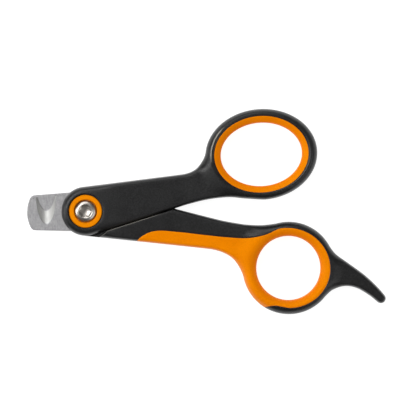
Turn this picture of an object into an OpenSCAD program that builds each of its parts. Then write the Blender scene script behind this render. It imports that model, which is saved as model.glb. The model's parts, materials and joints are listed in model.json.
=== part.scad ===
// Scissor-type claw trimmer for pets: two moulded handles with soft grips turn on a screw pivot,
// and each one carries a steel blade with a claw notch ground into its edge.
// Units are millimetres. The origin is on the pivot axis, in the plane that the closed trimmer rests on.
// +X runs from the pivot along the centre line between the closed handles, and +Z up along the pivot.

/* [Handles] */
// Thickness of both handles, from the resting face to the top face
handle_t = 10; // [9:0.5:12]
// Radius of the round hub of each handle
hub_r = 9.8; // [9.5:0.1:10.2]
// Half of the angle between the two handle edges that close on each other
close_angle = 16; // [15:0.25:17]
// Gap that is left between those edges when the trimmer is closed
close_gap = 0.3; // [0.2:0.05:0.5]
// Radius round the pivot that each handle's thick shoulder keeps clear
shoulder_r = 11.7; // [11:0.1:12.4]
// Size of the chamfer along the outer edges
edge_chamfer = 1.2; // [0.6:0.1:1.4]

/* [Rings] */
// Half length of the thumb ring's opening
thumb_a = 16.25; // [15.25:0.25:17]
// Half width of the thumb ring's opening
thumb_b = 12.65; // [11.65:0.25:13.4]
// Radius of the finger ring's opening
finger_r = 12.8; // [12:0.2:13.4]
// Height of the straight wall in the middle of each opening
ring_land = 4; // [3:0.5:5]
// Width of the bevel that opens each ring towards its faces
ring_bevel = 2.2; // [1.4:0.1:2.4]

/* [Blades] */
// Thickness of each blade
blade_t = 2; // [1.7:0.1:2.3]
// Radius of the flute that is ground into each blade as its claw notch
flute_r = 4.2; // [3.8:0.1:4.5]
// Angle between the flute and the blade's flat
flute_angle = 19.3; // [18:0.1:23]
// Distance from the pivot to the middle of the notch
notch_x = 15.7; // [14.8:0.1:16.2]

/* [Pivot] */
// Radius of the nut's sleeve, which the moving blade turns on
sleeve_r = 3.2; // [2.9:0.1:3.4]
// Radius of the screw's shank
shank_r = 1.98; // [1.8:0.02:2]
// Radius of the screw's head and of the nut's flange
head_r = 4.25; // [4:0.05:4.4]

/* [Hidden] */
$fn = 72;
over = 1;                                  // how far a cutter reaches past what it cuts

mid_z = handle_t / 2;                      // the plane in which the blades slide on each other
blade_gap = 0.02;                          // from that plane to each blade
hub_gap = 0.15;                            // from that plane to the face of each hub
blade_top = mid_z + blade_gap + blade_t;
collar_r = 6.7;
collar_bore_r = 4.9;
collar_flare = 0.25;                       // groove between a collar's rim and its hub
collar_sink = 0.5;                         // how far a collar's face lies below the hub's
running = 0.05;                            // radial clearance of the moving blade on the sleeve
slack = 0.01;                              // between pieces stacked on the pivot
washer_t = 0.3;
spring_t = 0.3;
spring_rise = 0.25;
head_z = blade_top + 2 * slack + washer_t + spring_t + spring_rise + slack;
nut_sink = 0.35;                           // how far the nut's flange lies above the resting plane
flat_w = 5.4;                              // across the flats that stop the nut from turning
nut_floor = 1.2;                           // steel left below the nut's blind thread

thumb_angle = 5.45;                        // slope of the thumb handle's long outer edge
finger_angle = 7.75;                       // slope of the finger handle's long outer edge
thumb_c = [70.9, 20.6];                    // centre of the thumb ring
thumb_tilt = 3;
thumb_liner_w = 2.6;
thumb_rim = [6.15, 5.5];                   // from the opening to the outline, along each half axis
finger_c = [80.3, -25.15];                 // centre of the finger ring
finger_rim_r = 18.5;
finger_rim_shift = [0.2, 0];
liner_c = [80.2, -25.1];                   // centre of the oval where the soft liner ends
liner_ab = [16.8, 15.95];
liner_tilt = -12;
tip_c = [116.9, -38.4];                    // centre of the finger rest's round tip
tip_r = 1.95;

// Points of an arc, of an oval, and of a smooth curve through hand-placed points, whose first and
// last points only guide its direction.
function arc(c, r, a0, a1, n) = [for (i = [0:n]) let (a = a0 + (a1 - a0) * i / n) c + r * [cos(a), sin(a)]];
function turned(p, a) = [p[0] * cos(a) - p[1] * sin(a), p[0] * sin(a) + p[1] * cos(a)];
function oval_point(c, ab, tilt, t) = c + turned([ab[0] * cos(t), ab[1] * sin(t)], tilt);
function oval(c, ab, tilt, t0, t1, n) = [for (i = [0:n]) oval_point(c, ab, tilt, t0 + (t1 - t0) * i / n)];
function along(p, i, t) = 0.5 * (2 * p[i] + (p[i + 1] - p[i - 1]) * t
    + (2 * p[i - 1] - 5 * p[i] + 4 * p[i + 1] - p[i + 2]) * t * t
    + (3 * p[i] - p[i - 1] - 3 * p[i + 1] + p[i + 2]) * t * t * t);
function smooth(p, n) = [for (i = [1:len(p) - 3], k = [1:n]) if (i < len(p) - 3 || k < n) along(p, i, k / n)];

// A point on the line that touches the hub at the bottom (side -1) or top (side 1) and slopes by angle.
function edge_point(side, angle, x) = [x, side * hub_r / cos(angle) + x * tan(angle)];

thumb_rim_ab = [thumb_a, thumb_b] + thumb_rim;
finger_rim_c = finger_c + finger_rim_shift;
function thumb_rim_at(t) = oval_point(thumb_c, thumb_rim_ab, thumb_tilt, t);
function finger_rim_at(t) = finger_rim_c + finger_rim_r * [cos(t), sin(t)];

upper_outline = concat(
    arc([0, 0], hub_r, 90 + thumb_angle, 270 + close_angle, 38),
    smooth([edge_point(-1, close_angle, 32), edge_point(-1, close_angle, 38), [42.2, 1.8], [49.1, 3.2],
            [57.1, 3.85], [64.1, 3.1], thumb_rim_at(-90), thumb_rim_at(-80)], 4),
    oval(thumb_c, thumb_rim_ab, thumb_tilt, -90, 172, 52),
    smooth([thumb_rim_at(162), thumb_rim_at(172), [47.6, 19.3], [45.1, 16.0], [42.3, 14.35],
            edge_point(1, thumb_angle, 39), edge_point(1, thumb_angle, 34)], 4),
    [edge_point(1, thumb_angle, 36)]
);

lower_outline = concat(
    arc([0, 0], hub_r, 90 - close_angle, 270 - finger_angle, 38),
    smooth([edge_point(-1, -finger_angle, 40), edge_point(-1, -finger_angle, 46), [50.9, -17.0],
            [55.4, -18.7], [58.6, -21.1], [60.9, -24.6], finger_rim_at(189), finger_rim_at(196)], 4),
    arc(finger_rim_c, finger_rim_r, 189, 320, 30),
    smooth([finger_rim_at(313), finger_rim_at(320), [97.9, -34.4], [102.7, -33.1], [107.6, -34.1],
            [112.5, -37.2], tip_c + tip_r * [cos(230), sin(230)], tip_c + tip_r * [cos(260), sin(260)]], 4),
    arc(tip_c, tip_r, 230, 390, 12),
    smooth([tip_c + tip_r * [cos(360), sin(360)], tip_c + tip_r * [cos(390), sin(390)], [115.3, -33.4],
            [110.6, -28.8], [104.6, -24.1], [99.6, -20.3], finger_rim_at(26), finger_rim_at(33)], 4),
    arc(finger_rim_c, finger_rim_r, 26, 104, 18),
    smooth([finger_rim_at(97), finger_rim_at(104), [70.4, -7.7], [64.6, -7.35], [59.4, -6.45],
            edge_point(1, -close_angle, 53), edge_point(1, -close_angle, 47)], 4),
    [edge_point(1, -close_angle, 50)]
);

// The area of the finger handle that is soft grip, drawn past the outline at its free side.
grip_zone = concat(
    smooth([[17, -16.5], [18.6, -14.2], [22.4, -10.6], [27.9, -8.7], [36.7, -9.4], [46.4, -10.8], [56, -12.1],
            [64, -12.7], [71.2, -11.7], oval_point(liner_c, liner_ab, liner_tilt, 112),
            oval_point(liner_c, liner_ab, liner_tilt, 100)], 5),
    oval(liner_c, liner_ab, liner_tilt, 112, -78, 44),
    smooth([oval_point(liner_c, liner_ab, liner_tilt, -70), oval_point(liner_c, liner_ab, liner_tilt, -78),
            [77, -40.4], [74.3, -39.95], [69.4, -40.7], [66, -42]], 4),
    [[66, -48], [30, -40], [17, -18]]
);

thumb_liner = oval(thumb_c, [thumb_a, thumb_b] + [1, 1] * thumb_liner_w, thumb_tilt, 0, 355, 71);
thumb_opening = oval(thumb_c, [thumb_a, thumb_b], thumb_tilt, 0, 355, 71);

function next(loop, i) = loop[(i + 1) % len(loop)];
function prev(loop, i) = loop[(i + len(loop) - 1) % len(loop)];
function unit(v) = v / norm(v);
function right_of(v) = [v[1], -v[0]];
// Outward normal at a corner of a loop, lengthened so that offset edges stay parallel.
function corner_normal(loop, i) =
    let (a = right_of(unit(loop[i] - prev(loop, i))), b = right_of(unit(next(loop, i) - loop[i])))
    unit(a + b) / cos(acos(min(1, a * b)) / 2);

// A wedge that runs round a loop and cuts a chamfer of that width and depth where the loop meets
// height z: the top edge for face 1, the bottom edge for face -1. Side is 1 on an outline, -1 in a hole.
module edge_wedge(loop, width, depth, z, face = 1, side = 1) {
    reach = 1.3;
    out = reach - 1;
    section = [[-reach * width, out * depth], [out * width, -reach * depth], [out * width, out * depth]];
    n = len(loop);
    points = [for (i = [0:n - 1], s = section)
        let (p = loop[i] + side * s[0] * corner_normal(loop, i)) [p[0], p[1], z + face * s[1]]];
    sides = [for (i = [0:n - 1], k = [0:2])
        let (a = 3 * i + k, b = 3 * i + (k + 1) % 3, c = 3 * ((i + 1) % n) + (k + 1) % 3, d = 3 * ((i + 1) % n) + k)
        face * side > 0 ? [a, b, c, d] : [d, c, b, a]];
    polyhedron(points, sides);
}

module chamfers(loop) {
    edge_wedge(loop, edge_chamfer, edge_chamfer, handle_t, 1);
    edge_wedge(loop, edge_chamfer, edge_chamfer, 0, -1);
}

// What the thumb handle (side 1) or finger handle (side -1) leaves to the other one: the disc round the
// pivot and all beyond the line that the other handle's edge closes on.
module other_handle_zone(side) {
    circle(r = shoulder_r);
    gap_y = close_gap / cos(close_angle);
    near = edge_point(side, -side * close_angle, -60) + [0, side * gap_y];
    far = edge_point(side, -side * close_angle, 60) + [0, side * gap_y];
    polygon([near, far, [60, -side * 70], [-60, -side * 70]]);
}

// Blade outline without its holes, with the edge side towards +Y, and the tang to the right.
tang_angle = 10.9;
tang_l = 36;
tang_holes = [20, 30];
tang_hole_r = 1.6;
blade_tip_c = [-11.4, -0.4];
blade_tip_r = 12;
blade_root_r = 7.6;
blade_plate = concat(
    [[-2, 7.2], [-21.0, 6.0], [-21.9, 5.4]],
    arc(blade_tip_c, blade_tip_r, 155, 208, 14),
    [[-21.3, -6.9], [-20.4, -7.0], [-2, -7.9]]
);

module tang() {
    rotate(tang_angle) polygon([[0, 4.6], [0, -4.6], [tang_l - 2, -3], [tang_l, -1.6], [tang_l, 1.6], [tang_l - 2, 3]]);
}

// The thumb handle's blade before its bore is drilled: its flat lies in the shearing plane.
module blade_blank() {
    translate([0, 0, mid_z + blade_gap]) difference() {
        linear_extrude(blade_t) difference() {
            union() {
                polygon(blade_plate);
                circle(r = blade_root_r);
                tang();
            }
            for (x = tang_holes) rotate(tang_angle) translate([x, 0]) circle(r = tang_hole_r);
        }
        flute();
    }
}

module blade(bore_r) {
    difference() {
        blade_blank();
        cylinder(r = bore_r, h = handle_t);
    }
}

// The tilted cylinder that grinds the notch. Its lowest line meets the blade's flat at flute_y.
flute_y = 0.95;
module flute() {
    translate([-notch_x, flute_y, 0]) rotate([90 - flute_angle, 0, 0]) translate([0, flute_r, -30])
        cylinder(r = flute_r, h = 50);
}

module finger_side() {
    translate([0, 0, handle_t]) rotate([180, 0, 0]) children();
}

module hub_recess() {
    translate([0, 0, blade_top - over]) cylinder(r = collar_r, h = handle_t);
    translate([0, 0, handle_t - 1.2]) cylinder(r = collar_r + collar_flare, h = handle_t);
}

module collar() {
    rotate_extrude() polygon([
        [collar_bore_r - 0.3, blade_top + slack], [collar_r, blade_top + slack],
        [collar_r, handle_t - collar_sink - 0.3], [collar_r - 0.3, handle_t - collar_sink],
        [collar_bore_r + 0.3, handle_t - collar_sink], [collar_bore_r, handle_t - collar_sink - 0.4],
        [collar_bore_r - 0.3, handle_t - collar_sink - 1.2]
    ]);
}

module upper_handle() {
    color("#2e2f31") difference() {
        linear_extrude(handle_t) difference() {
            polygon(upper_outline);
            polygon(thumb_liner);
        }
        chamfers(upper_outline);
        translate([0, 0, -over]) linear_extrude(mid_z + hub_gap + over) other_handle_zone(1);
        blade_blank();
        hub_recess();
    }
}

module thumb_ring_liner() {
    color("#ee8a0c") difference() {
        linear_extrude(handle_t) difference() {
            polygon(thumb_liner);
            polygon(thumb_opening);
        }
        bevel_h = (handle_t - ring_land) / 2;
        edge_wedge(thumb_opening, ring_bevel, bevel_h, handle_t, 1, -1);
        edge_wedge(thumb_opening, ring_bevel, bevel_h, 0, -1, -1);
    }
}

module upper_blade() {
    color("#b4b4b6") blade(sleeve_r + running);
}

module upper_collar() {
    color("#ee8a0c") collar();
}

module lower_handle() {
    color("#2e2f31") difference() {
        linear_extrude(handle_t) difference() {
            polygon(lower_outline);
            polygon(grip_zone);
        }
        chamfers(lower_outline);
        translate([0, 0, mid_z - hub_gap]) linear_extrude(handle_t) other_handle_zone(-1);
        finger_side() blade_blank();
        finger_side() hub_recess();
    }
}

module lower_grip() {
    color("#ee8a0c") difference() {
        linear_extrude(handle_t) intersection() {
            polygon(lower_outline);
            polygon(grip_zone);
        }
        chamfers(lower_outline);
        finger_side() blade_blank();
        translate([finger_c[0], finger_c[1], 0]) finger_opening();
    }
}

module finger_opening() {
    bevel_h = (handle_t - ring_land) / 2;
    reach = (bevel_h + over) / bevel_h;
    translate([0, 0, -over]) cylinder(r = finger_r, h = handle_t + 2 * over);
    translate([0, 0, handle_t - bevel_h])
        cylinder(r1 = finger_r, r2 = finger_r + reach * ring_bevel, h = bevel_h + over);
    translate([0, 0, -over]) cylinder(r1 = finger_r + reach * ring_bevel, r2 = finger_r, h = bevel_h + over);
}

module lower_blade() {
    color("#b4b4b6") finger_side() difference() {
        blade_blank();
        linear_extrude(handle_t) double_d();
    }
}

// Round with two flats, as the nut's sleeve is where it sits in the fixed blade.
module double_d() {
    intersection() {
        circle(r = sleeve_r);
        square([flat_w, 3 * sleeve_r], center = true);
    }
}

module lower_collar() {
    color("#ee8a0c") finger_side() collar();
}

module pivot_nut() {
    flange_top = handle_t - blade_top;
    fixed_top = mid_z - blade_gap;
    color("#c9c7c2") difference() {
        union() {
            rotate_extrude() polygon([
                [0, nut_sink], [head_r - 0.5, nut_sink], [head_r, nut_sink + 0.5],
                [head_r, flange_top - slack], [0, flange_top - slack]
            ]);
            translate([0, 0, flange_top - 0.1]) linear_extrude(fixed_top - flange_top + 0.1) double_d();
            translate([0, 0, fixed_top]) cylinder(r = sleeve_r, h = blade_top + slack - fixed_top);
        }
        translate([0, 0, nut_sink + nut_floor]) cylinder(r = shank_r + 0.02, h = handle_t);
        translate([-head_r - over, -0.6, nut_sink - over]) cube([2 * (head_r + over), 1.2, over + 0.8]);
    }
}

module thrust_washer() {
    color("#8f8a80") translate([0, 0, blade_top + 2 * slack]) difference() {
        cylinder(r = head_r + 0.2, h = washer_t);
        translate([0, 0, -over]) cylinder(r = shank_r + 0.12, h = 3 * over);
    }
}

module disc_spring() {
    base = blade_top + 3 * slack + washer_t;
    inner = shank_r + 0.12;
    color("#9a9a98") rotate_extrude() polygon([
        [inner, base + spring_rise], [head_r, base], [head_r, base + spring_t], [inner, base + spring_rise + spring_t]
    ]);
}

module six_lobe_socket(depth) {
    linear_extrude(depth) union() {
        circle(r = 1.8);
        for (a = [0:60:300]) rotate(a) translate([1.72, 0]) circle(r = 0.52);
    }
}

module pivot_screw() {
    head_h = handle_t - head_z;
    socket_depth = 1.5;
    color("#d6d3cc") difference() {
        union() {
            rotate_extrude() polygon([
                [0, head_z + slack], [head_r, head_z + slack], [head_r, head_z + 0.45 * head_h],
                [head_r - 0.35, head_z + 0.75 * head_h], [head_r - 0.9, head_z + 0.95 * head_h],
                [head_r - 1.3, handle_t], [0, handle_t]
            ]);
            translate([0, 0, nut_sink + nut_floor + 0.5]) cylinder(r = shank_r, h = head_z - nut_sink - nut_floor);
        }
        translate([0, 0, handle_t - socket_depth]) six_lobe_socket(2 * socket_depth);
        translate([0, 0, handle_t - 0.35]) cylinder(r1 = 2.25, r2 = 2.6, h = 0.36);
    }
}

upper_handle();
thumb_ring_liner();
upper_blade();
upper_collar();
lower_handle();
lower_grip();
lower_blade();
lower_collar();
pivot_nut();
thrust_washer();
disc_spring();
pivot_screw();
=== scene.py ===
"""Pet nail trimmer: the looks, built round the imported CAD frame.

Both handles, the soft mouldings and the blades are solids between two height fields over one
triangulated outline; the pieces on the pivot are turned profiles. Plan sizes are in millimetres,
heights are in millimetres from the shearing plane, and every object comes out in metres.
"""

import json
import math

import bpy
import numpy as np
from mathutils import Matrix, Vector
from mathutils.geometry import delaunay_2d_cdt


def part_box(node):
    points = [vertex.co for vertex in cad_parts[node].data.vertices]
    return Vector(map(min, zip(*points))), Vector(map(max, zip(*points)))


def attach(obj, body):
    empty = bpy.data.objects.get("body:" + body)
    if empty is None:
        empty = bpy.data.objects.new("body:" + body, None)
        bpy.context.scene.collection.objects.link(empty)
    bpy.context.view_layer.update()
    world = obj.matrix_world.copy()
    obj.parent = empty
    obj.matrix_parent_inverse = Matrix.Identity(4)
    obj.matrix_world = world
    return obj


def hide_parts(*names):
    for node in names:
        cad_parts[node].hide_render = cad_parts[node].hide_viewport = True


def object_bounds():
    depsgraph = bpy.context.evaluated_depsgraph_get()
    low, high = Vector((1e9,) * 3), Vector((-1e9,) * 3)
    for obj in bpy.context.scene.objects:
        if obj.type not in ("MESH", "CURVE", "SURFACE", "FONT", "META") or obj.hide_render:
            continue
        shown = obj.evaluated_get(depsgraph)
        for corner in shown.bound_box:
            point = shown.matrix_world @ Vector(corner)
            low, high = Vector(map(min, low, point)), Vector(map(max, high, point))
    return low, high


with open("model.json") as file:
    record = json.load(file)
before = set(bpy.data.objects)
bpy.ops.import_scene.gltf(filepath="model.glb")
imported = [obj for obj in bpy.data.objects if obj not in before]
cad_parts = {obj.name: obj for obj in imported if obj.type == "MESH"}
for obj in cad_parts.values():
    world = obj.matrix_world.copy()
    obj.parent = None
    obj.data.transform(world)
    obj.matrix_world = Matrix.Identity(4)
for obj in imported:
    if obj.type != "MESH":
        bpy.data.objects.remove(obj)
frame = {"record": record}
cad_low, cad_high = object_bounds()

MM = 0.001


def low_mm(node):
    """The low corner of a CAD node's box, in millimetres."""
    return np.array(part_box(node)[0]) / MM


def high_mm(node):
    """The high corner of a CAD node's box, in millimetres."""
    return np.array(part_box(node)[1]) / MM


# ---------------------------------------------------------------- driving sizes, from the frame
MID = (low_mm("upper_handle")[2] + high_mm("upper_handle")[2]) / 2
HALF_T = high_mm("upper_handle")[2] - MID
HUB_R = -low_mm("upper_handle")[0]
BLADE_LOW = low_mm("upper_blade")[2] - MID
BLADE_HIGH = high_mm("upper_blade")[2] - MID
BLADE_T = BLADE_HIGH - BLADE_LOW
COLLAR_R = high_mm("upper_collar")[0]
COLLAR_LOW = low_mm("upper_collar")[2] - MID
COLLAR_HIGH = high_mm("upper_collar")[2] - MID
HEAD_R = high_mm("pivot_screw")[0]
SCREW_LOW = low_mm("pivot_screw")[2] - MID
SCREW_HIGH = high_mm("pivot_screw")[2] - MID
NUT_LOW = low_mm("pivot_nut")[2] - MID
NUT_HIGH = high_mm("pivot_nut")[2] - MID
WASHER_LOW = low_mm("thrust_washer")[2] - MID
WASHER_HIGH = high_mm("thrust_washer")[2] - MID
WASHER_R = high_mm("thrust_washer")[0]
SPRING_LOW = low_mm("disc_spring")[2] - MID
SPRING_HIGH = high_mm("disc_spring")[2] - MID

mounts = {m["name"]: m for m in frame["record"]["mounts"]}
FINGER_C = np.array(mounts["finger_ring"]["pos_m"][:2]) / MM
FINGER_R = mounts["finger_ring"]["dims"]["r_mm"]

# ---------------------------------------------------------------- driving sizes, plan
CLOSE_ANGLE = 16          # half of the angle between the two edges that close on each other
CLOSE_GAP = 0.3           # between those edges when the trimmer is shut
THUMB_SLOPE = 5.45        # of the thumb handle's outer edge
FINGER_SLOPE = 7.75       # of the finger handle's outer edge
SHOULDER_R = 11.7
SHOULDER_END = 60         # how far along x the shoulder lines run
THUMB_AB = np.array([16.25, 12.65])
THUMB_C = np.array([70.9, 20.6])
THUMB_TILT = 3
THUMB_LINER_W = 2.6
THUMB_RIM_AB = THUMB_AB + [6.15, 5.5]
FINGER_RIM_R = 18.5
FINGER_RIM_C = FINGER_C + [0.2, 0]
LINER_C = np.array([80.2, -25.1])
LINER_AB = np.array([16.8, 15.95])
LINER_TILT = -12
TIP_C = np.array([116.9, -38.4])        # centre of the round tip of the finger rest
TIP_R = 1.95
SLEEVE_R = 3.2
SLEEVE_FLAT = 2.7         # from the pivot axis to each flat of the nut's sleeve
SHANK_R = 1.98

# ---------------------------------------------------------------- driving sizes, the handles' section
# The rings are full and round, and the shanks lie a little lower. A fade is a pair of distances, from
# a ring's opening or from the pivot, over which one shape turns into the other.
SHANK_DIP = 0.8
DIP_RING_FADE = (3.4, 10.0)
DIP_HUB_FADE = (10, 42)
EDGE_SHANK = 1.4          # width of the rounded edge along the shanks
EDGE_HUB = 2.5
EDGE_HUB_FADE = (10, 16)
EDGE_RING = 4.3
EDGE_RING_FADE = (6.5, 11)
EDGE_POWER = 2.6          # of the superellipse that rounds the edge; 2 is a circle
THUMB_LIP = (3.95, 0.36, 0.05, 0.12)    # width, slope at its ridge, curvature, softness of the ridge
FINGER_LIP = (3.5, 0.0, 0.17, 0.0)
OPENING_ROUND = 0.7       # rounding at a ring's opening, outwards from it
OPENING_DROP = 0.6        # and the same rounding's depth
SEAM_W = 0.18
SEAM_DEPTH = 0.1
HUB_GAP = 0.15            # from the shearing plane to each hub's inner face
COLLAR_FLARE = 0.25       # width of the groove round the collar
RECESS_DEPTH = 1.2        # of that groove
RECESS_ROUND = 0.1        # rounding where the groove meets the hub's face
SHOULDER_ROUND = 0.3
SHOULDER_FOOT = 1.0       # width of the strip along each shoulder's foot that covers the tang
FOOT_GAP = 0.01           # from the shearing plane to that strip

# ---------------------------------------------------------------- mesh lines
HANDLE_SPACING = 0.9
BLADE_SPACING = 0.6
ROW_STEP = 0.866          # from row to row of a grid of even-sided triangles, as a share of its spacing
GRID_CLEARANCE = 0.45     # the grid keeps this share of its spacing away from every drawn line
EDGE_TURNS = (12, 24, 36, 48, 60, 72, 82, 90)       # degrees round the rounded edge
LIP_REACHES = (0, 0.05, 0.16, 0.35, 0.7, 1.2, 1.9, 2.7, 3.3, 3.7, 3.95, 4.2, 4.6)
SHOULDER_REACHES = (-SHOULDER_FOOT, 0, 0.03, 0.1, 0.19, SHOULDER_ROUND)
GROOVE_WALL = 0.02        # half of the width in plan of the groove's steep outer wall
HUB_RADII = (COLLAR_R, COLLAR_R + COLLAR_FLARE - GROOVE_WALL, COLLAR_R + COLLAR_FLARE + GROOVE_WALL,
             COLLAR_R + 0.3, COLLAR_R + 0.36)

# ---------------------------------------------------------------- edge colour and painted highlights
EDGE_BAND_W = 2.2              # width of the band along the outline over which the black handles turn a little paler and the soft grips a little darker
PAINTED_HIGHLIGHT_W = 0.2               # width of the painted highlight along a shoulder's edge
PAINTED_HIGHLIGHT_BELOW = 1             # the painted highlight is at least this far from the shearing plane
PAINTED_HIGHLIGHT_END = (25, 31.5)      # x over which the painted highlight along the shoulder fades out
PAINTED_HIGHLIGHT_START = (8, 11)       # x over which it comes to its full strength
PAINTED_HIGHLIGHT_FAINT = 0.4           # its strength before that
CREST_TURN = 165          # direction from the thumb ring's centre to the part of its ridge with the painted highlight
CREST_W = 0.3
CREST_FADE = (0.91, 0.98)               # cosine of the angle from that direction


# ---------------------------------------------------------------- plan curves
def unit(angle):
    """A step of length 1 in a direction given in degrees."""
    return np.array([math.cos(math.radians(angle)), math.sin(math.radians(angle))])


def arc(c, r, a0, a1, n):
    """n equal steps round a circle, from angle a0 to angle a1."""
    return [np.array(c) + r * unit(a0 + (a1 - a0) * i / n) for i in range(n + 1)]


def circle(c, r):
    """A whole circle without its last point, which would repeat the first."""
    return np.array(arc(c, r, 0, 357, 119))


def oval_point(c, ab, tilt, t):
    """The point at angle t of an oval with half axes ab, the first of them turned by tilt."""
    x, y = np.array(ab) * unit(t)
    return np.array(c) + x * unit(tilt) + y * unit(tilt + 90)


def oval(c, ab, tilt, t0, t1, n):
    """n steps round an oval, from angle t0 to angle t1."""
    return [oval_point(c, ab, tilt, t0 + (t1 - t0) * i / n) for i in range(n + 1)]


def smooth(points, n=8):
    """A smooth curve through given points; the first and last only guide its direction."""
    p = [np.array(q, float) for q in points]
    out = []
    for i in range(1, len(p) - 2):
        for k in range(1, n + 1):
            t = k / n
            if i < len(p) - 3 or k < n:
                out.append(0.5 * (2 * p[i] + (p[i + 1] - p[i - 1]) * t
                                  + (2 * p[i - 1] - 5 * p[i] + 4 * p[i + 1] - p[i + 2]) * t ** 2
                                  + (3 * p[i] - p[i - 1] - 3 * p[i + 1] + p[i + 2]) * t ** 3))
    return out


def straight(a, b, spacing=1.0):
    """Points between a and b, without either of them."""
    n = max(1, int(np.linalg.norm(np.subtract(b, a)) / spacing))
    return [np.array(a) + (np.array(b) - np.array(a)) * i / n for i in range(1, n)]


def edge_point(side, angle, x):
    """On the line that touches the hub at the bottom (side -1) or top (side 1) and slopes by angle."""
    a = math.radians(angle)
    return np.array([x, side * HUB_R / math.cos(a) + x * math.tan(a)])


def thumb_rim_at(t):
    """A point on the thumb ring's outer edge."""
    return oval_point(THUMB_C, THUMB_RIM_AB, THUMB_TILT, t)


def finger_rim_at(t):
    """A point on the finger ring's outer edge."""
    return FINGER_RIM_C + FINGER_RIM_R * unit(t)


def liner_at(t):
    """A point on the soft grip's outer edge round the finger ring."""
    return oval_point(LINER_C, LINER_AB, LINER_TILT, t)


def thumb_handle_outline():
    """Round the hub, along the edge that closes, round the thumb ring and back along the outer edge."""
    slope = THUMB_SLOPE
    hub = arc((0, 0), HUB_R, 90 + slope, 270 + CLOSE_ANGLE, 60)
    inner = smooth([edge_point(-1, CLOSE_ANGLE, 32), edge_point(-1, CLOSE_ANGLE, 38), (42.2, 1.8),
                    (49.1, 3.2), (57.1, 3.85), (64.1, 3.1), thumb_rim_at(-90), thumb_rim_at(-80)])
    rim = oval(THUMB_C, THUMB_RIM_AB, THUMB_TILT, -90, 172, 120)
    neck = smooth([thumb_rim_at(162), thumb_rim_at(172), (47.6, 19.3), (45.1, 16.0), (42.3, 14.35),
                   edge_point(1, slope, 39), edge_point(1, slope, 34)])
    corner = edge_point(1, slope, 36)
    return np.array(hub + straight(hub[-1], inner[0]) + inner + rim + neck
                    + [corner] + straight(corner, hub[0]))


def finger_handle_outline():
    """Round the hub, along the outer edge, round the finger ring and rest, and back to the hub."""
    slope = FINGER_SLOPE
    hub = arc((0, 0), HUB_R, 90 - CLOSE_ANGLE, 270 - slope, 60)
    neck = smooth([edge_point(-1, -slope, 40), edge_point(-1, -slope, 46), (50.9, -17.0), (55.4, -18.7),
                   (58.6, -21.1), (60.9, -24.6), finger_rim_at(189), finger_rim_at(196)])
    under = arc(FINGER_RIM_C, FINGER_RIM_R, 189, 320, 44)
    rest_under = smooth([finger_rim_at(313), finger_rim_at(320), (97.9, -34.4), (102.7, -33.1),
                         (107.6, -34.1), (112.5, -37.2),
                         TIP_C + TIP_R * unit(230), TIP_C + TIP_R * unit(260)])
    tip = arc(TIP_C, TIP_R, 230, 390, 20)
    rest_top = smooth([TIP_C + TIP_R * unit(360), TIP_C + TIP_R * unit(390), (115.3, -33.4), (110.6, -28.8),
                       (104.6, -24.1), (99.6, -20.3), finger_rim_at(26), finger_rim_at(33)])
    over = arc(FINGER_RIM_C, FINGER_RIM_R, 26, 104, 28)
    inner = smooth([finger_rim_at(97), finger_rim_at(104), (70.4, -7.7), (64.6, -7.35), (59.4, -6.45),
                    edge_point(1, -CLOSE_ANGLE, 53), edge_point(1, -CLOSE_ANGLE, 47)])
    corner = edge_point(1, -CLOSE_ANGLE, 50)
    return np.array(hub + straight(hub[-1], neck[0]) + neck + under + rest_under + tip + rest_top + over
                    + inner + [corner] + straight(corner, hub[0]))


def grip_seam():
    """Where the soft grip meets the finger handle, from the shank's lower edge round the ring."""
    shank = smooth([(17, -16.5), (18.6, -14.2), (22.4, -10.6), (27.9, -8.7), (36.7, -9.4), (46.4, -10.8),
                    (56, -12.1), (64, -12.7), (71.2, -11.7), liner_at(112), liner_at(100)])
    ring = oval(LINER_C, LINER_AB, LINER_TILT, 112, -78, 80)
    tail = smooth([liner_at(-70), liner_at(-78), (77, -40.4), (74.3, -39.95), (69.4, -40.7), (66, -42)])
    return np.array(shank + ring + tail + [np.array([66.5, -41.8])])


def shoulder_line(side, beyond=0.0):
    """Edge of the thick part of the thumb handle (side 1) or finger handle (side -1), where the other
    handle closes on it: an arc round the pivot, then the line of the other's edge."""
    r = SHOULDER_R + beyond
    drop = side * (CLOSE_GAP + beyond)
    a = math.radians(CLOSE_ANGLE)
    reach = HUB_R + CLOSE_GAP + beyond
    meet = math.degrees(math.acos(reach / r))
    start = 90 - CLOSE_ANGLE - meet
    line = [np.array([x, side * (HUB_R / math.cos(a) - x * math.tan(a)) + drop / math.cos(a)])
            for x in np.linspace(r * math.cos(math.radians(start)), SHOULDER_END, 50)]
    bend = [np.array([p[0], side * p[1]]) for p in arc((0, 0), r, start + 40, start, 20)]
    return np.array(bend[:-1] + line)


def shoulder_y(x, side):
    """The height in plan of the shoulder line's straight part at x."""
    a = math.radians(CLOSE_ANGLE)
    return side * ((HUB_R + CLOSE_GAP) / math.cos(a) - x * math.tan(a))


# ---------------------------------------------------------------- plan measures
def distance(points, line, closed=True):
    """From each point to the nearest place on a line or closed loop."""
    a = line if closed else line[:-1]
    b = np.roll(line, -1, axis=0) if closed else line[1:]
    ab = b - a
    length2 = (ab ** 2).sum(1)
    best = np.full(len(points), np.inf)
    for p0, d, l2 in zip(a, ab, length2):
        if l2 > 0:
            t = np.clip(((points - p0) @ d) / l2, 0, 1)
            best = np.minimum(best, np.hypot(*(points - p0 - t[:, None] * d).T))
    return best


def inside(points, loop):
    """Which points lie inside a closed loop."""
    x, y = points.T
    hit = np.zeros(len(points), bool)
    for (x1, y1), (x2, y2) in zip(loop, np.roll(loop, -1, axis=0)):
        if y1 != y2:
            hit ^= ((y1 > y) != (y2 > y)) & (x < (x2 - x1) * (y - y1) / (y2 - y1) + x1)
    return hit


def unit_rows(vectors):
    """Each row scaled to length 1."""
    return vectors / np.linalg.norm(vectors, axis=1)[:, None]


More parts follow.
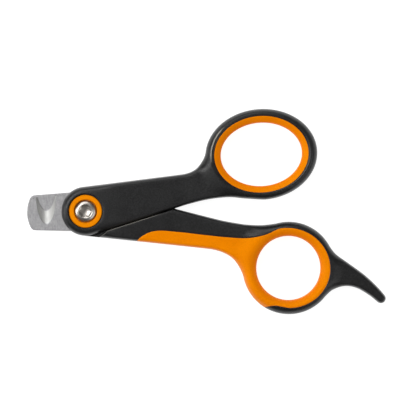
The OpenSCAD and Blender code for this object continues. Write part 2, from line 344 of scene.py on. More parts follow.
def offset(loop, amount, closed=True):
    """The loop moved to its left by amount, a number or one per point."""
    ahead = np.roll(loop, -1, axis=0) - loop
    behind = loop - np.roll(loop, 1, axis=0)
    if not closed:
        ahead[-1], behind[0] = behind[-1], ahead[0]
    tangent = unit_rows(ahead) + unit_rows(behind)
    tangent = unit_rows(tangent)
    normal = np.stack([-tangent[:, 1], tangent[:, 0]], 1)
    return loop + normal * np.reshape(amount, (-1, 1))


def step(v, a, b):
    """0 up to a, 1 from b on, and a smooth rise between them."""
    t = np.clip((v - a) / (b - a), 0, 1)
    return t * t * (3 - 2 * t)


def triangulate(loops, lines, spacing):
    """Triangles over the first loop, with all loops and lines as edges of the mesh."""
    curves = [(c, True) for c in loops] + [(c, False) for c in lines]
    points, edges = [], []
    for curve, closed in curves:
        first, n = len(points), len(curve)
        points += [tuple(p) for p in curve]
        edges += [(first + i, first + (i + 1) % n) for i in range(n if closed else n - 1)]
    low, high = loops[0].min(0), loops[0].max(0)
    rows = np.arange(low[1], high[1], spacing * ROW_STEP)
    grid = np.array([(x + (k % 2) * spacing / 2, y) for k, y in enumerate(rows)
                     for x in np.arange(low[0], high[0], spacing)])
    grid = grid[inside(grid, loops[0])]
    for curve, closed in curves:
        grid = grid[distance(grid, curve, closed) > GRID_CLEARANCE * spacing]
    points += [tuple(g) for g in grid]
    verts, _, faces, *_ = delaunay_2d_cdt([Vector(p) for p in points], edges, [], 0, 1e-5, False)
    xy = np.array([tuple(v) for v in verts])
    tris = np.array(faces)
    middle = xy[tris].mean(1)
    return xy, tris[inside(middle, loops[0])]


# ---------------------------------------------------------------- solids
def new_object(name, verts, faces, smooth_angle=35.0):
    """A mesh object in metres, from millimetres in plan and heights from the shearing plane."""
    mesh = bpy.data.meshes.new(name)
    mesh.from_pydata([tuple(np.array(v) * MM + np.array([0, 0, MID * MM])) for v in verts], [], faces)
    mesh.validate()
    mesh.shade_smooth()
    mesh.set_sharp_from_angle(angle=math.radians(smooth_angle))
    made = bpy.data.objects.new(name, mesh)
    bpy.context.scene.collection.objects.link(made)
    return made


def solid(name, xy, tris, top, bottom, flip=False, smooth_angle=35.0):
    """Closed solid over the triangles. top and bottom are heights at each triangle's corners, so a
    surface can step; walls close every step and the rim. flip turns it upside down."""
    index, levels, verts, faces, walls = {}, {}, [], [], {}

    def vertex(i, z):
        """The vertex on plan point i at height z, made when it is first needed."""
        key = (int(i), round(float(z), 4))
        if key not in index:
            index[key] = len(verts)
            levels.setdefault(int(i), []).append(len(verts))
            verts.append((xy[i][0], xy[i][1], -z if flip else z))
        return index[key]

    def upright(i, a, b):
        """From vertex a to vertex b, both on plan point i, by way of those that lie between them."""
        start, end = verts[a][2], verts[b][2]
        between = [v for v in levels[i] if min(start, end) < verts[v][2] < max(start, end)]
        return [a] + sorted(between, key=lambda v: abs(verts[v][2] - start)) + [b]

    for t, up, down in zip(tris, top, bottom):
        a = [vertex(i, z) for i, z in zip(t, up)]
        b = [vertex(i, z) for i, z in zip(t, down)]
        if a == b:
            continue
        faces += [tuple(a), tuple(reversed(b))]
        for k in range(3):
            m = (k + 1) % 3
            walls[(int(t[k]), int(t[m]))] = (a[k], a[m], b[k], b[m])
    for (i, j), (ai, aj, bi, bj) in walls.items():
        other = walls.get((j, i))
        if other is None:
            faces.append(upright(i, ai, bi) + upright(j, bj, aj))
        elif i < j:
            oj, oi, pj, pi = other
            faces.append(upright(i, ai, oi) + upright(j, oj, aj))
            faces.append(upright(j, bj, pj) + upright(i, pi, bi))
    kept = []
    for f in faces:
        f = without_repeats(f)
        if len(f) > 2 and len(set(f)) == len(f):
            kept.append(tuple(reversed(f)) if flip else tuple(f))
    return new_object(name, verts, kept, smooth_angle)


def without_repeats(face):
    """A face's vertices without any that is the same as the one before it."""
    return [v for k, v in enumerate(face) if v != face[k - 1]]


def turned_piece(name, rings, steps=120, smooth_angle=30.0):
    """Surface through rings round the pivot axis, each (radius, height) or (radius, height, lobe): six
    lobes of that height stand out of the ring. A radius of 0 closes the surface on the axis."""
    verts, faces, rows = [], [], []
    for ring in rings:
        r, z, lobe = (*ring, 0)[:3]
        if r == 0:
            rows.append([len(verts)] * steps)
            verts.append((0, 0, z))
            continue
        rows.append(list(range(len(verts), len(verts) + steps)))
        for i in range(steps):
            a = 2 * math.pi * i / steps
            d = r + lobe * (math.cos(6 * a) + 0.25 * math.cos(12 * a))
            verts.append((d * math.cos(a), d * math.sin(a), z))
    closed = rings[0][0] > 0
    for below, above in zip(rows, rows[1:] + (rows[:1] if closed else [])):
        for i in range(steps):
            j = (i + 1) % steps
            f = without_repeats([below[i], below[j], above[j], above[i]])
            if len(f) > 2:
                faces.append(tuple(f))
    return new_object(name, verts, faces, smooth_angle)


def rounded(profile, r=0.1, n=3):
    """A closed (radius, height) profile with its corners rounded."""
    out = []
    for i, p in enumerate(profile):
        p, a, b = np.array(p), np.array(profile[i - 1]), np.array(profile[(i + 1) % len(profile)])
        u, v = (a - p) / np.linalg.norm(a - p), (b - p) / np.linalg.norm(b - p)
        reach = min(r, 0.45 * np.linalg.norm(a - p), 0.45 * np.linalg.norm(b - p))
        for k in range(n + 1):
            t = k / n
            out.append(tuple(p + u * reach * (1 - t) ** 2 + v * reach * t ** 2))
    return out


# ---------------------------------------------------------------- the moulded handles
def fillet(t):
    """How far a quarter round has dropped, as a share of its radius: 1 at t = 0, and 0 from t = 1 on."""
    return 1 - np.sqrt(1 - (1 - np.clip(t, 0, 1)) ** 2)


def section_height(d, ring, hub, lip):
    """Half the handle's thickness and the width of its rounded edge, from the distances to its
    outline, ring opening and pivot."""
    h = HALF_T - SHANK_DIP * step(ring, *DIP_RING_FADE) * step(hub, *DIP_HUB_FADE)
    edge = (EDGE_SHANK + (EDGE_HUB - EDGE_SHANK) * (1 - step(hub, *EDGE_HUB_FADE))
            + (EDGE_RING - EDGE_SHANK) * (1 - step(ring, *EDGE_RING_FADE)))
    t = np.clip(d / edge, 0, 1)
    h = h * (1 - (1 - t) ** EDGE_POWER) ** (1 / EDGE_POWER)
    width, slope, bend, soft = lip
    q = width - ring
    q = (q + np.sqrt(q * q + soft * soft)) / 2
    drop = slope * q + bend * q * q
    drop += OPENING_DROP * fillet(ring / OPENING_ROUND)
    return np.maximum(h - drop, HUB_GAP), edge


def handle(outline, opening, seam, side, lip, names):
    """Both pieces of one handle, side 1 for the thumb handle. Heights here count towards the other
    handle, so the thumb handle is flipped at the end."""
    hub = np.hypot(*outline.T)
    ring = distance(outline, opening)
    edge = section_height(np.zeros(len(outline)), ring, hub, lip)[1]
    loops = [outline]
    for angle in EDGE_TURNS:
        share = 1 - math.cos(math.radians(angle)) ** (2 / EDGE_POWER)
        loops.append(offset(outline, edge * share))
    loops += [offset(opening, -reach) for reach in LIP_REACHES]
    loops += [circle((0, 0), r) for r in HUB_RADII]
    lines = [shoulder_line(side, reach) for reach in SHOULDER_REACHES]
    closed = np.allclose(seam[0], seam[-1])
    for w in (0, SEAM_W, -SEAM_W):
        lines.append(offset(seam[:-1], w) if closed else offset(seam, w, closed=False))
    xy, tris = triangulate(loops, lines, HANDLE_SPACING)
    middle = xy[tris].mean(1)
    hub = np.hypot(*middle.T)
    tris = tris[~inside(middle, opening) & (hub > COLLAR_R)]
    middle = xy[tris].mean(1)

    d, hub, ring = distance(xy, outline), np.hypot(*xy.T), distance(xy, opening)
    h = section_height(d, ring, hub, lip)[0]
    groove = SEAM_DEPTH * np.clip(1 - distance(xy, seam, closed=False) / SEAM_W, 0, 1)
    h = np.maximum(h - groove, HUB_GAP)
    outer = h - RECESS_ROUND * fillet((hub - COLLAR_R - COLLAR_FLARE) / RECESS_ROUND)
    outer[hub < COLLAR_R + COLLAR_FLARE] = HALF_T - RECESS_DEPTH

    thick = side * middle[:, 1] > side * shoulder_y(middle[:, 0], side)
    thick &= np.hypot(*middle.T) > SHOULDER_R
    brink = shoulder_line(side)
    inner = h - SHOULDER_ROUND * fillet(distance(xy, brink, closed=False) / SHOULDER_ROUND)
    foot = distance(middle, brink, closed=False) < SHOULDER_FOOT
    top = np.where(thick[:, None], inner[tris], np.where(foot, -FOOT_GAP, -HUB_GAP)[:, None])
    soft = in_grip(middle, seam)
    made = []
    for name, part in zip(names, (~soft, soft)):
        made.append(solid(name, xy, tris[part], top[part], -outer[tris[part]], flip=side > 0))
        flat, height = plan(made[-1])
        # painted highlight: a pale line along the shoulder's edge, fading out along x, and on the thumb
        # handle a pale arc along part of the ring's ridge
        painted_highlight = (1 - distance(flat, brink, closed=False) / PAINTED_HIGHLIGHT_W) * (height * -side > PAINTED_HIGHLIGHT_BELOW)
        along = flat[:, 0]
        painted_highlight *= (1 - step(along, *PAINTED_HIGHLIGHT_END)) * (PAINTED_HIGHLIGHT_FAINT + (1 - PAINTED_HIGHLIGHT_FAINT) * step(along, *PAINTED_HIGHLIGHT_START))
        if side > 0:
            around = (flat - THUMB_C) @ unit(CREST_TURN) / np.linalg.norm(flat - THUMB_C, axis=1)
            crest = 1 - np.abs(distance(flat, opening) - lip[0]) / CREST_W
            painted_highlight = np.maximum(painted_highlight, crest * step(around, *CREST_FADE))
        set_attribute(made[-1], "edge", 1 - distance(flat, outline) / EDGE_BAND_W)
        set_attribute(made[-1], "painted_highlight", painted_highlight)
    return made


def plan(made):
    """Where a piece's vertices are in plan, and their heights."""
    co = np.zeros(len(made.data.vertices) * 3)
    made.data.vertices.foreach_get("co", co)
    co = co.reshape(-1, 3) / MM
    return co[:, :2], co[:, 2] - MID


def set_attribute(made, name, values):
    """Gives a piece one number from 0 to 1 at each vertex, for its material to read."""
    made.data.attributes.new(name, "FLOAT", "POINT").data.foreach_set(
        "value", np.clip(values, 0, 1).astype(np.float32))


def in_grip(points, seam):
    """Which points are on the soft side of a seam. An open seam is closed round the handle's outside."""
    if np.allclose(seam[0], seam[-1]):
        return inside(points, seam[:-1])
    outside = [(66, -60), (17, -60), (17, -16.5)]
    return inside(points, np.vstack([seam, outside]))


# ---------------------------------------------------------------- blades
# The claw notch is a flute: a cylinder of radius FLUTE_R, cut with its axis at FLUTE_ANGLE to the
# blade's flat, which is the face that slides on the other blade.
NOTCH_X = 15.7            # from the pivot to the middle of the notch
FLUTE_R = 4.2
FLUTE_ANGLE = 19.3
FLUTE_Y = 0.95            # where, across the blade, the flute's floor meets the flat
FLUTE_COS = math.cos(math.radians(FLUTE_ANGLE))
FLUTE_SIN = math.sin(math.radians(FLUTE_ANGLE))
NO_CUT = 99               # a height over the blade, for places that the flute doesn't reach
CHAMFER = 0.22            # along the blade's outline
GRIND_FADE = 0.25         # depth over which the flute's bright grinding fades in
ROOT_R = 7.6              # of the blade's round edges beside the pivot
TANG_ANGLE = 10.9
TANG_L = 36
TANG_HOLES = (20, 30)     # along the tang from the pivot
TANG_HOLE_R = 1.6


def flute_curve(height, reach=88):
    """Where the flute's wall crosses a height above the blade's flat, from one side to the other.
    reach is in degrees round the wall, from its middle."""
    out = []
    for t in np.linspace(-reach, reach, 45):
        u = FLUTE_R * math.sin(math.radians(t))
        v = FLUTE_R * (1 - math.cos(math.radians(t)))
        out.append((-NOTCH_X + u, FLUTE_Y + (v - height * FLUTE_COS) / FLUTE_SIN))
    return np.array(out)


def flute_height(xy):
    """The height of the flute's wall above the blade's flat at each plan point."""
    u = np.clip(xy[:, 0] + NOTCH_X, -FLUTE_R, FLUTE_R)
    v = FLUTE_R - np.sqrt(FLUTE_R ** 2 - u ** 2)
    z = (v - (xy[:, 1] - FLUTE_Y) * FLUTE_SIN) / FLUTE_COS
    return np.where(np.abs(xy[:, 0] + NOTCH_X) < FLUTE_R, z, NO_CUT)


def blade_outline():
    """The upper blade's outline: round nose, lower edge, heel, tang, root, and back along the top."""
    tip = arc((-11.4, -0.4), 12, 153, 208, 24)
    tang = unit(TANG_ANGLE)
    across = unit(TANG_ANGLE + 90)
    upper = smooth([(-19.0, 6.1), (-20.5, 6.02), (-21.4, 5.75), tip[0], tip[1]], 4)
    lower = smooth([tip[-2], tip[-1], (-21.2, -6.75), (-20.2, -7.0), (-19, -7.03)], 4)
    heel = [(-2.2, -7.88)] + arc((0, 0), ROOT_R + 0.25, 262, 300, 8)
    shaft = [tang * 7.4 - across * 4.2, tang * (TANG_L - 2) - across * 3, tang * TANG_L - across * 1.6,
             tang * TANG_L + across * 1.6, tang * (TANG_L - 2) + across * 3, tang * 7.4 + across * 4.2]
    back = arc((0, 0), ROOT_R, 72, 104, 8)
    loop = [(-20.5, 6.02)] + upper + tip + lower + [(-20.2, -7.0)] + heel + shaft + back
    dense = []
    for a, b in zip(loop, loop[1:] + loop[:1]):
        dense += [np.array(a)] + straight(a, b, 0.8)
    keep = [p for k, p in enumerate(dense) if np.linalg.norm(p - dense[k - 1]) > 1e-3]
    return np.array(keep)


def blade(name, bore, lower):
    """One blade with its notch, bore and tang. The lower one is the upper one's mirror image."""
    outline = blade_outline()
    loops = [outline, offset(outline, CHAMFER), bore]
    holes = [np.array(arc(unit(TANG_ANGLE) * x, TANG_HOLE_R, 0, 350, 35)) for x in TANG_HOLES]
    lines = [flute_curve(z) for z in np.linspace(0, BLADE_T, 9)]
    xy, tris = triangulate(loops + holes, lines, BLADE_SPACING)
    middle = xy[tris].mean(1)
    removed = flute_height(middle) < 0
    for hole in holes + [bore]:
        removed |= inside(middle, hole)
    tris = tris[~removed]
    z = np.minimum(BLADE_T, flute_height(xy))
    z = np.minimum(z, BLADE_T - np.clip(CHAMFER - distance(xy, outline), 0, 1))
    z = np.maximum(z, 0)
    top = BLADE_LOW + z[tris]
    mirror = [1, -1 if lower else 1]
    if lower:
        xy, tris, top = xy * mirror, tris[:, ::-1], top[:, ::-1]
    bottom = np.full(tris.shape, BLADE_LOW)
    made = solid(name, xy, tris, top, bottom, flip=lower, smooth_angle=20)
    flat, height = plan(made)
    cut = BLADE_T - flute_height(flat * mirror)
    set_attribute(made, "ground", cut / GRIND_FADE * (np.abs(height) > BLADE_LOW + 0.02))
    return made


def double_d():
    """The lower blade's bore, with two flats that keep the nut's sleeve from turning."""
    a = math.degrees(math.acos(SLEEVE_FLAT / SLEEVE_R))
    return np.array(arc((0, 0), SLEEVE_R, a, 180 - a, 24) + arc((0, 0), SLEEVE_R, 180 + a, 360 - a, 24))


# ---------------------------------------------------------------- materials
MOULD_GRAIN = 1900        # cycles per metre of the grain that the moulds leave


def material(name, roughness, metallic=0.0, **fixed):
    """A new material, its node tree and its shader. fixed holds the shader's other constant values."""
    m = bpy.data.materials.new(name)
    m.use_nodes = True
    shader = m.node_tree.nodes["Principled BSDF"]
    shader.inputs["Metallic"].default_value = metallic
    shader.inputs["Roughness"].default_value = roughness
    for socket, value in fixed.items():
        shader.inputs[socket.replace("_", " ")].default_value = value
    return m, m.node_tree, shader


def noise(tree, scale, detail=3.0, stretch=(1, 1, 1), turn=0.0):
    """Noise over the piece in its own coordinates, scale in cycles per metre."""
    where = tree.nodes.new("ShaderNodeTexCoord")
    place = tree.nodes.new("ShaderNodeMapping")
    place.inputs["Scale"].default_value = stretch
    place.inputs["Rotation"].default_value = (0, 0, turn)
    tree.links.new(where.outputs["Object"], place.inputs["Vector"])
    made = tree.nodes.new("ShaderNodeTexNoise")
    made.inputs["Scale"].default_value = scale
    made.inputs["Detail"].default_value = detail
    tree.links.new(place.outputs["Vector"], made.inputs["Vector"])
    return made.outputs["Fac"]


def ramp(tree, source, low, high, start=0.3, end=0.7):
    """low where the source is at start or less, high where it is at end or more."""
    made = tree.nodes.new("ShaderNodeMapRange")
    made.inputs["From Min"].default_value = start
    made.inputs["From Max"].default_value = end
    made.inputs["To Min"].default_value = low
    made.inputs["To Max"].default_value = high
    tree.links.new(source, made.inputs["Value"])
    return made.outputs["Result"]


def blend_colour(tree, factor, a, b):
    """Colour a where the factor is 0 and b where it is 1; each is a plain colour or a node's output."""
    made = tree.nodes.new("ShaderNodeMix")
    made.data_type = "RGBA"
    tree.links.new(factor, made.inputs["Factor"])
    for socket, value in (("A", a), ("B", b)):
        target = [s for s in made.inputs if s.name == socket and s.type == "RGBA"][0]
        if isinstance(value, tuple):
            target.default_value = (*value, 1)
        else:
            tree.links.new(value, target)
    return [s for s in made.outputs if s.type == "RGBA"][0]


def bump(tree, shader, layers):
    """Stacks bump layers, each (height source, strength, depth in metres)."""
    before = None
    for source, strength, depth in layers:
        made = tree.nodes.new("ShaderNodeBump")
        made.inputs["Strength"].default_value = strength
        made.inputs["Distance"].default_value = depth
        tree.links.new(source, made.inputs["Height"])
        if before is not None:
            tree.links.new(before, made.inputs["Normal"])
        before = made.outputs["Normal"]
    tree.links.new(before, shader.inputs["Normal"])


def attribute(tree, name):
    """The number that set_attribute gave the piece under this name."""
    made = tree.nodes.new("ShaderNodeAttribute")
    made.attribute_name = name
    return made.outputs["Fac"]


def black_nylon():
    """Fine-grained black moulding, a little paler in a band along its outline, with a pale painted
    highlight along each shoulder's edge and on part of the thumb ring's ridge.
    """
    m, tree, shader = material("black_nylon", 0.35, Specular_IOR_Level=0.36)
    grain = noise(tree, MOULD_GRAIN, 4)
    fleck = noise(tree, MOULD_GRAIN, 2)
    base = blend_colour(tree, ramp(tree, fleck, 0, 1), (0.005, 0.005, 0.0052), (0.017, 0.017, 0.0175))
    edge_mix = ramp(tree, attribute(tree, "edge"), 0, 0.5, 0.2, 1.0)
    edge_toned = blend_colour(tree, edge_mix, base, (0.015, 0.015, 0.0155))
    # painted highlight: a pale beige colour over the line along each shoulder's edge and the arc on the
    # thumb ring's ridge
    painted_highlight = ramp(tree, attribute(tree, "painted_highlight"), 0, 1, 0.0, 1.0)
    with_painted_highlight = blend_colour(tree, painted_highlight, edge_toned, (0.4, 0.37, 0.32))
    tree.links.new(with_painted_highlight, shader.inputs["Base Color"])
    tree.links.new(ramp(tree, noise(tree, 160, 3), 0.29, 0.37), shader.inputs["Roughness"])
    bump(tree, shader, [(grain, 0.8, 0.00007)])
    return m


def orange_rubber():
    """Soft grip: a dull orange with dark grain, and a little darker along its outline."""
    m, tree, shader = material("orange_soft_grip", 0.5, Specular_IOR_Level=0.38,
                               Specular_Tint=(1, 0.7, 0.02, 1))
    mottle = noise(tree, 90, 3)
    grain = noise(tree, MOULD_GRAIN, 3)
    base = blend_colour(tree, ramp(tree, mottle, 0, 1), (0.85, 0.215, 0.0), (0.92, 0.242, 0.0))
    base = blend_colour(tree, ramp(tree, grain, 0.3, 0, 0.35, 0.5), base, (0.7, 0.17, 0.0))
    edge_mix = ramp(tree, attribute(tree, "edge"), 0, 0.5, 0.5, 1.0)
    edge_toned = blend_colour(tree, edge_mix, base, (0.8, 0.2, 0.0))
    tree.links.new(edge_toned, shader.inputs["Base Color"])
    tree.links.new(ramp(tree, noise(tree, 220, 3), 0.4, 0.52), shader.inputs["Roughness"])
    bump(tree, shader, [(grain, 0.45, 0.00006)])
    return m


def orange_plastic():
    """The collars: hard orange plastic, smoother than the grip."""
    m, tree, shader = material("orange_collar", 0.42, Specular_IOR_Level=0.4,
                               Specular_Tint=(1, 0.5, 0.05, 1))
    mottle = noise(tree, 140, 3)
    base = blend_colour(tree, ramp(tree, mottle, 0, 1), (0.86, 0.24, 0.0), (0.92, 0.27, 0.0))
    tree.links.new(base, shader.inputs["Base Color"])
    tree.links.new(ramp(tree, noise(tree, 300, 3), 0.36, 0.48), shader.inputs["Roughness"])
    bump(tree, shader, [(noise(tree, 3600, 2), 0.12, 0.00003)])
    return m


def blade_steel():
    """Blade steel, brushed across the blade, and paler but less glossy where the notch is ground."""
    m, tree, shader = material("ground_steel", 0.34, 1.0)
    line = noise(tree, 1500, 4, (1, 0.25, 1), math.radians(8))
    cloud = noise(tree, 1500, 3)
    base = blend_colour(tree, ramp(tree, cloud, 0, 1), (0.35, 0.345, 0.355), (0.46, 0.455, 0.46))
    base = blend_colour(tree, ramp(tree, line, 0, 0.35, 0.35, 0.65), base, (0.24, 0.24, 0.25))
    ground = attribute(tree, "ground")
    base = blend_colour(tree, ramp(tree, ground, 0, 1, 0.2, 0.8), base, (0.57, 0.57, 0.555))
    tree.links.new(base, shader.inputs["Base Color"])
    dull = tree.nodes.new("ShaderNodeMath")
    dull.operation = "ADD"
    tree.links.new(ramp(tree, line, 0.38, 0.52), dull.inputs[0])
    tree.links.new(ramp(tree, ground, 0, 0.1, 0.2, 0.8), dull.inputs[1])
    tree.links.new(dull.outputs["Value"], shader.inputs["Roughness"])
    bump(tree, shader, [(line, 0.2, 0.00001), (noise(tree, 2300, 2), 0.2, 0.00002)])
    return m


def bright_plate():
    """The plated screw and nut, slightly smeared."""
    m, tree, shader = material("bright_plate", 0.16, 1.0)
    smear = noise(tree, 420, 3)
    base = blend_colour(tree, ramp(tree, smear, 0, 1), (0.44, 0.41, 0.375), (0.5, 0.465, 0.425))
    tree.links.new(base, shader.inputs["Base Color"])
    tree.links.new(ramp(tree, noise(tree, 1100, 3), 0.27, 0.31), shader.inputs["Roughness"])
    bump(tree, shader, [(noise(tree, 3000, 2), 0.02, 0.00001)])
    return m


def spring_steel():
    """The disc spring's dark, uneven steel."""
    m, tree, shader = material("spring_steel", 0.4, 1.0)
    base = blend_colour(tree, ramp(tree, noise(tree, 700, 3), 0, 1), (0.3, 0.29, 0.28), (0.42, 0.41, 0.4))
    tree.links.new(base, shader.inputs["Base Color"])
    tree.links.new(ramp(tree, noise(tree, 1500, 2), 0.32, 0.5), shader.inputs["Roughness"])
    bump(tree, shader, [(noise(tree, 1900, 2), 0.15, 0.00002)])
    return m


def natural_nylon():
    """The thrust washer's uncoloured nylon."""
    m, tree, shader = material("natural_nylon", 0.5)
    base = blend_colour(tree, ramp(tree, noise(tree, 600, 2), 0, 1), (0.66, 0.64, 0.58), (0.75, 0.73, 0.68))
    tree.links.new(base, shader.inputs["Base Color"])
    tree.links.new(ramp(tree, noise(tree, 900, 2), 0.42, 0.58), shader.inputs["Roughness"])
    bump(tree, shader, [(noise(tree, 2400, 2), 0.15, 0.00002)])
    return m


# ---------------------------------------------------------------- build the pieces
nylon, rubber, collar_orange = black_nylon(), orange_rubber(), orange_plastic()
steel, plate = blade_steel(), bright_plate()

thumb_opening = np.array(oval(THUMB_C, THUMB_AB, THUMB_TILT, 0, 357, 119))
thumb_seam = np.array(oval(THUMB_C, THUMB_AB + THUMB_LINER_W, THUMB_TILT, 0, 360, 140))
finger_opening = circle(FINGER_C, FINGER_R)

thumb_handle, thumb_liner = handle(thumb_handle_outline(), thumb_opening, thumb_seam, 1, THUMB_LIP,
                                   ("thumb_handle", "thumb_ring_soft_liner"))
finger_handle, finger_grip = handle(finger_handle_outline(), finger_opening, grip_seam(), -1, FINGER_LIP,
                                    ("finger_handle", "finger_soft_grip"))
RUNNING_GAP = 0.05        # between the nut's sleeve and the blade that turns on it
moving_blade = blade("moving_blade", circle((0, 0), SLEEVE_R + RUNNING_GAP), lower=False)
fixed_blade = blade("fixed_blade", double_d(), lower=True)

# Profiles of the pieces on the pivot, as radius and height; a third number is the height of six lobes.
COLLAR_BORE = 4.6
COLLAR_LIP = 4.4          # a lip just under the bore's mouth, above the washer
COLLAR_RIM = COLLAR_R - 0.08
COLLAR_ROUND = 0.08
collar_profile = rounded([(COLLAR_BORE, COLLAR_LOW), (COLLAR_R, COLLAR_LOW), (COLLAR_R, COLLAR_HIGH - 1.2),
                          (COLLAR_RIM, COLLAR_HIGH - 0.4), (COLLAR_RIM - 0.2, COLLAR_HIGH),
                          (COLLAR_BORE + 0.25, COLLAR_HIGH), (COLLAR_BORE, COLLAR_HIGH - 0.4),
                          (COLLAR_LIP, COLLAR_HIGH - 0.9), (COLLAR_LIP, COLLAR_HIGH - 1.4),
                          (COLLAR_BORE, COLLAR_HIGH - 1.6)], COLLAR_ROUND)
upper_ring = turned_piece("upper_hub_ring", collar_profile)
lower_ring = turned_piece("lower_hub_ring", [(r, -z) for r, z in reversed(collar_profile)])

SOCKET_DEPTH = 1.5
SOCKET = SCREW_HIGH - SOCKET_DEPTH
SEAT = SPRING_HIGH + 0.01               # the head's underside, just clear of the spring
HEAD_DOME = [(0, 1.0), (0.06, 0.75), (0.22, 0.5), (0.5, 0.27), (0.85, 0.11), (1.2, 0.02), (1.35, 0)]
SOCKET_MOUTH = [(2.66, 0.02, 0), (2.45, 0.14, 0.05), (2.22, 0.34, 0.2), (2.14, 0.42, 0.24)]
shank = [(0, SCREW_LOW), (SHANK_R - 0.3, SCREW_LOW), (SHANK_R, SCREW_LOW + 0.3),
         (SHANK_R, SPRING_HIGH - 0.1), (SHANK_R + 0.1, SEAT)]
head = [(HEAD_R - 0.12, SEAT), (HEAD_R, SPRING_HIGH + 0.12)]
dome = [(HEAD_R - inward, SCREW_HIGH - down) for inward, down in HEAD_DOME]
mouth = [(r, SCREW_HIGH - down, lobe) for r, down, lobe in SOCKET_MOUTH]
socket = [(2.1, SOCKET + 0.1, 0.24), (2.0, SOCKET, 0.22), (1.5, SOCKET - 0.05), (0, SOCKET - 0.5)]
screw = turned_piece("pivot_screw_turned", shank + head + dome + mouth + socket)

BLIND = NUT_LOW + 1.2                   # the bottom of the nut's thread bore
FLANGE = -COLLAR_LOW                    # the flange's inner face
THREAD_R = SHANK_R + 0.02
flange = [(0, NUT_LOW), (HEAD_R - 0.9, NUT_LOW), (HEAD_R - 0.4, NUT_LOW + 0.12),
          (HEAD_R - 0.1, NUT_LOW + 0.4), (HEAD_R, NUT_LOW + 0.75), (HEAD_R, FLANGE - 0.1),
          (HEAD_R - 0.1, FLANGE)]
sleeve = [(SLEEVE_R, FLANGE), (SLEEVE_R, NUT_HIGH - 0.15), (SLEEVE_R - 0.15, NUT_HIGH)]
thread = [(SHANK_R + 0.15, NUT_HIGH), (THREAD_R, NUT_HIGH - 0.15), (THREAD_R, BLIND), (0, BLIND - 0.3)]
nut = turned_piece("pivot_nut_turned", flange + sleeve + thread)

WASHER_BORE = SHANK_R + 0.12            # of the washer and the spring
WASHER_ROUND = 0.06
SPRING_T = 0.3
washer = turned_piece("thrust_washer_ring", rounded(
    [(WASHER_BORE, WASHER_LOW), (WASHER_R, WASHER_LOW),
     (WASHER_R, WASHER_HIGH), (WASHER_BORE, WASHER_HIGH)], WASHER_ROUND))
spring = turned_piece("disc_spring_cone", rounded(
    [(WASHER_BORE, SPRING_HIGH - SPRING_T), (HEAD_R, SPRING_LOW),
     (HEAD_R, SPRING_LOW + SPRING_T), (WASHER_BORE, SPRING_HIGH)], WASHER_ROUND))

PIECES = [
    (thumb_handle, "upper_handle", "upper_half", "handle_plastic", nylon),
    (thumb_liner, "thumb_ring_liner", "upper_half", "soft_grip", rubber),
    (moving_blade, "upper_blade", "upper_half", "blade_steel", steel),
    (upper_ring, "upper_collar", "upper_half", "collar_plastic", collar_orange),
    (finger_handle, "lower_handle", "lower_half", "handle_plastic", nylon),
    (finger_grip, "lower_grip", "lower_half", "soft_grip", rubber),
    (fixed_blade, "lower_blade", "lower_half", "blade_steel", steel),
    (lower_ring, "lower_collar", "lower_half", "collar_plastic", collar_orange),
    (nut, "pivot_nut", "lower_half", "plated_steel", plate),
    (washer, "thrust_washer", "lower_half", "washer_nylon", natural_nylon()),
    (spring, "disc_spring", "lower_half", "spring_steel", spring_steel()),
    (screw, "pivot_screw", "lower_half", "plated_steel", plate),
]
for piece, node, body, slot, finish in PIECES:
    piece.data.materials.append(finish)
    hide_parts(node)
    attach(piece, body)

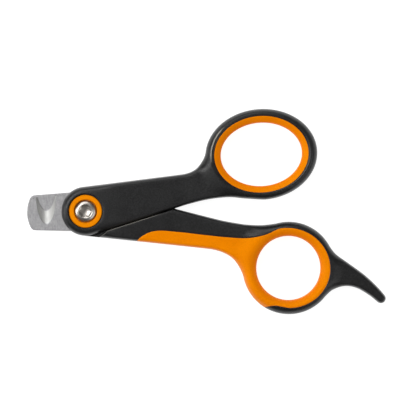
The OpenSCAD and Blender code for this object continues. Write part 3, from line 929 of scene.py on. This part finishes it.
# ---------------------------------------------------------------- floor, light and camera
FLOOR = 4.0               # half of the floor's width, in metres
FLOOR_GAP = 0.0001        # from the floor to the trimmer, in metres
FLOOR_GLOW = 0.92
WORLD_GLOW = 0.14
corners = [(-FLOOR, -FLOOR, 0), (FLOOR, -FLOOR, 0), (FLOOR, FLOOR, 0), (-FLOOR, FLOOR, 0)]
floor_mesh = bpy.data.meshes.new("floor")
floor_mesh.from_pydata(corners, [], [(0, 1, 2, 3)])
floor = bpy.data.objects.new("floor", floor_mesh)
floor.location = (0, 0, cad_low[2] - FLOOR_GAP)
bpy.context.scene.collection.objects.link(floor)
floor_finish, tree, shader = material("pale_floor", 0.9)
tone = blend_colour(tree, ramp(tree, noise(tree, 8, 2), 0, 1), (0.25, 0.25, 0.25), (0.27, 0.27, 0.27))
tree.links.new(tone, shader.inputs["Base Color"])
shader.inputs["Emission Color"].default_value = (1, 1, 1, 1)
shader.inputs["Emission Strength"].default_value = FLOOR_GLOW
floor_mesh.materials.append(floor_finish)

world = bpy.data.worlds.new("studio")
world.use_nodes = True
background = world.node_tree.nodes["Background"]
background.inputs["Color"].default_value = (1, 1, 1, 1)
background.inputs["Strength"].default_value = WORLD_GLOW
bpy.context.scene.world = world
bpy.context.scene.view_settings.view_transform = "Standard"

centre = (cad_low + cad_high) / 2


def softbox(name, azimuth, elevation, away, size, power):
    """A square lamp that faces the trimmer; its azimuth is counted from +X towards +Y, away and size
    are in metres, and power is in watts."""
    light = bpy.data.lights.new(name, "AREA")
    light.size = size
    light.energy = power
    lamp = bpy.data.objects.new(name, light)
    a, e = math.radians(azimuth), math.radians(elevation)
    toward = Vector((math.cos(a) * math.cos(e), math.sin(a) * math.cos(e), math.sin(e)))
    lamp.location = centre + toward * away
    lamp.rotation_mode = "QUATERNION"
    lamp.rotation_quaternion = toward.to_track_quat("Z", "Y")
    bpy.context.scene.collection.objects.link(lamp)


softbox("key", 150, 62, 0.9, 0.4, 3.0)
softbox("top", 102, 40, 0.9, 0.6, 2.7)
softbox("side", 180, 26, 0.9, 0.45, 2.8)
softbox("fill", -28, 42, 0.9, 0.8, 2.6)

VIEW_TURN = -1.75         # degrees that the camera is turned about its own line of sight
VIEW_W = 160.0            # width of the view at the trimmer, in mm
VIEW_C = (45.82, 3.10)    # the middle of the view, in mm from the pivot
AWAY = 2.0                # from the shearing plane to the camera, in metres
SENSOR_W = 36
camera = bpy.data.objects.new("camera", bpy.data.cameras.new("camera"))
camera.data.sensor_width = SENSOR_W
camera.data.lens = SENSOR_W * AWAY / (VIEW_W * MM)
camera.location = (VIEW_C[0] * MM, VIEW_C[1] * MM, MID * MM + AWAY)
camera.rotation_euler = (0, 0, math.radians(VIEW_TURN))
camera.data.clip_start = 0.01
bpy.context.scene.collection.objects.link(camera)
bpy.context.scene.camera = camera

bpy.context.view_layer.update()
